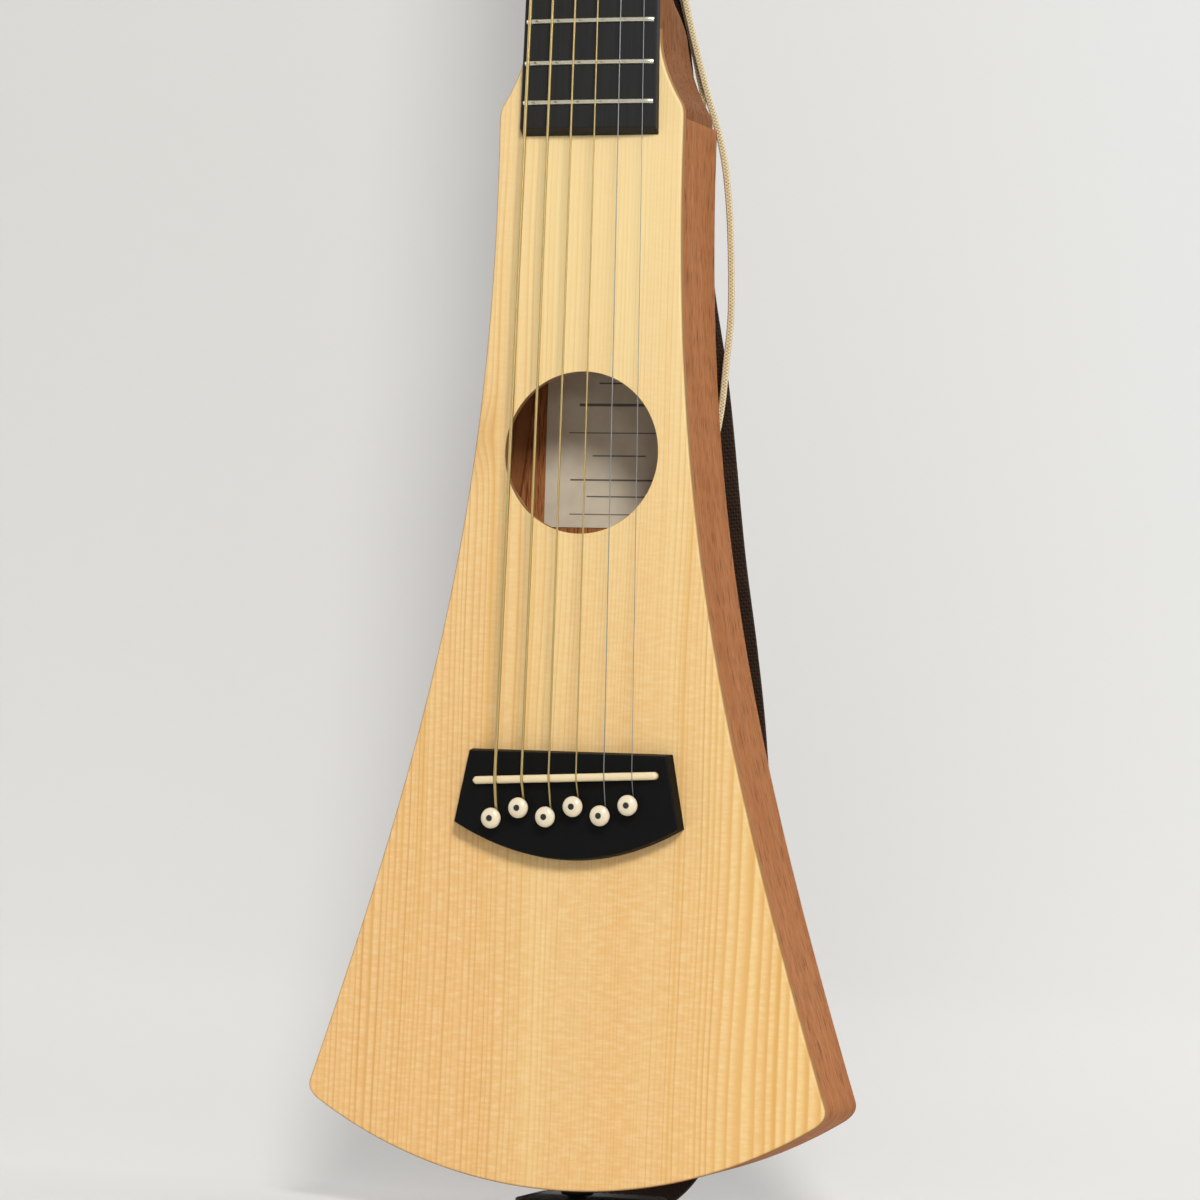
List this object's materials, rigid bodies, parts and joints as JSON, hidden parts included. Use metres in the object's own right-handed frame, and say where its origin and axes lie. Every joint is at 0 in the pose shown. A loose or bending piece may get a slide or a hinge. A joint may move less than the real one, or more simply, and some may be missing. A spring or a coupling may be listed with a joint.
{
  "type": "travel guitar",
  "caption": "Slim travel guitar with a flaring flat body, round sound hole, pinned bridge, long neck, tilted headstock with geared tuners, strap and lace.",
  "frame": {"origin": "lowest point of the tail, halfway through the body's depth, where a stand's cradle carries it", "axes": "+Z along the strings towards the headstock, -Y out of the soundboard, +X towards the treble side"},
  "size_m": [0.2108, 0.1161, 0.9083],
  "materials": {
    "spruce_top": "satin, pale straight grain",
    "mahogany_body": "satin, red-brown with short dark pores",
    "mahogany_neck": "satin, red-brown with short dark pores",
    "inner_mahogany": "bare, sanded",
    "inner_softwood": "bare, sanded",
    "label_paper": null,
    "rod_steel": "plain",
    "black_board": "matte charcoal composite",
    "bone_white": "satin cream",
    "pin_white": "glossy cream with a dark dot",
    "string_plain": "bright plain steel",
    "string_wound": "bronze winding",
    "tuner_chrome": "bright plating",
    "strap_webbing_black": "ribbed woven webbing",
    "strap_leather_black": "dull grained leather",
    "black_plastic": "moulded",
    "lace_braid": "beige braided lace"
  },
  "bodies": {
    "guitar": {"soundboard": "spruce_top", "back_plate": "mahogany_body", "side_treble": "mahogany_body", "side_bass": "mahogany_body", "neck": "mahogany_neck", "neck_block": "inner_mahogany", "tail_block": "inner_mahogany", "bridge_plate": "inner_mahogany", "lining_front_treble": "inner_mahogany", "lining_front_bass": "inner_mahogany", "lining_back_treble": "inner_mahogany", "lining_back_bass": "inner_mahogany", "x_brace": "inner_softwood", "transverse_brace": "inner_softwood", "back_brace_upper": "inner_softwood", "back_brace_lower": "inner_softwood", "label": "label_paper", "reinforcement_rod": "rod_steel", "fingerboard": "black_board", "bridge": "black_board", "nut": "bone_white", "saddle": "bone_white", "bridge_pin_1": "pin_white", "bridge_pin_2": "pin_white", "bridge_pin_3": "pin_white", "bridge_pin_4": "pin_white", "bridge_pin_5": "pin_white", "bridge_pin_6": "pin_white", "string_1": "string_plain", "string_2": "string_plain", "string_3": "string_wound", "string_4": "string_wound", "string_5": "string_wound", "string_6": "string_wound", "tuner_housing_1": "tuner_chrome", "tuner_housing_2": "tuner_chrome", "tuner_housing_3": "tuner_chrome", "tuner_housing_4": "tuner_chrome", "tuner_housing_5": "tuner_chrome", "tuner_housing_6": "tuner_chrome", "strap_webbing": "strap_webbing_black", "strap_tail_tab": "strap_leather_black", "strap_head_tab": "strap_leather_black", "strap_slider": "black_plastic", "strap_button": "black_plastic", "lace_tie": "lace_braid", "lace_cord": "lace_braid", "lace_knot": "lace_braid"},
    "tuner_button_1": {"tuner_button_1": "tuner_chrome"},
    "tuner_button_2": {"tuner_button_2": "tuner_chrome"},
    "tuner_button_3": {"tuner_button_3": "tuner_chrome"},
    "tuner_button_4": {"tuner_button_4": "tuner_chrome"},
    "tuner_button_5": {"tuner_button_5": "tuner_chrome"},
    "tuner_button_6": {"tuner_button_6": "tuner_chrome"},
    "tuner_post_1": {"tuner_post_1": "tuner_chrome"},
    "tuner_post_2": {"tuner_post_2": "tuner_chrome"},
    "tuner_post_3": {"tuner_post_3": "tuner_chrome"},
    "tuner_post_4": {"tuner_post_4": "tuner_chrome"},
    "tuner_post_5": {"tuner_post_5": "tuner_chrome"},
    "tuner_post_6": {"tuner_post_6": "tuner_chrome"}
  },
  "joints": [
    {"name": "button_turn_1", "type": "hinge", "parent": "guitar", "child": "tuner_button_1", "pos_m": [0.02, 0.00221, 0.79219], "axis": [1, 0, 0], "continuous": true},
    {"name": "post_turn_1", "type": "hinge", "parent": "guitar", "child": "tuner_post_1", "pos_m": [0.02, -0.01451, 0.80464], "axis": [0, -0.9781, 0.2079], "continuous": true},
    {"name": "button_turn_2", "type": "hinge", "parent": "guitar", "child": "tuner_button_2", "pos_m": [0.018, 0.01012, 0.82936], "axis": [1, 0, 0], "continuous": true},
    {"name": "post_turn_2", "type": "hinge", "parent": "guitar", "child": "tuner_post_2", "pos_m": [0.018, -0.00661, 0.84181], "axis": [0, -0.9781, 0.2079], "continuous": true},
    {"name": "button_turn_3", "type": "hinge", "parent": "guitar", "child": "tuner_button_3", "pos_m": [0.016, 0.01802, 0.86653], "axis": [1, 0, 0], "continuous": true},
    {"name": "post_turn_3", "type": "hinge", "parent": "guitar", "child": "tuner_post_3", "pos_m": [0.016, 0.00129, 0.87898], "axis": [0, -0.9781, 0.2079], "continuous": true},
    {"name": "button_turn_4", "type": "hinge", "parent": "guitar", "child": "tuner_button_4", "pos_m": [-0.016, 0.01802, 0.86653], "axis": [-1, 0, 0], "continuous": true},
    {"name": "post_turn_4", "type": "hinge", "parent": "guitar", "child": "tuner_post_4", "pos_m": [-0.016, 0.00129, 0.87898], "axis": [0, -0.9781, 0.2079], "continuous": true},
    {"name": "button_turn_5", "type": "hinge", "parent": "guitar", "child": "tuner_button_5", "pos_m": [-0.018, 0.01012, 0.82936], "axis": [-1, 0, 0], "continuous": true},
    {"name": "post_turn_5", "type": "hinge", "parent": "guitar", "child": "tuner_post_5", "pos_m": [-0.018, -0.00661, 0.84181], "axis": [0, -0.9781, 0.2079], "continuous": true},
    {"name": "button_turn_6", "type": "hinge", "parent": "guitar", "child": "tuner_button_6", "pos_m": [-0.02, 0.00221, 0.79219], "axis": [-1, 0, 0], "continuous": true},
    {"name": "post_turn_6", "type": "hinge", "parent": "guitar", "child": "tuner_post_6", "pos_m": [-0.02, -0.01451, 0.80464], "axis": [0, -0.9781, 0.2079], "continuous": true}
  ],
  "couplings": [
    {"joint": "post_turn_1", "follows": "button_turn_1", "ratio": -0.071429},
    {"joint": "post_turn_2", "follows": "button_turn_2", "ratio": -0.071429},
    {"joint": "post_turn_3", "follows": "button_turn_3", "ratio": -0.071429},
    {"joint": "post_turn_4", "follows": "button_turn_4", "ratio": 0.071429},
    {"joint": "post_turn_5", "follows": "button_turn_5", "ratio": 0.071429},
    {"joint": "post_turn_6", "follows": "button_turn_6", "ratio": 0.071429}
  ]
}
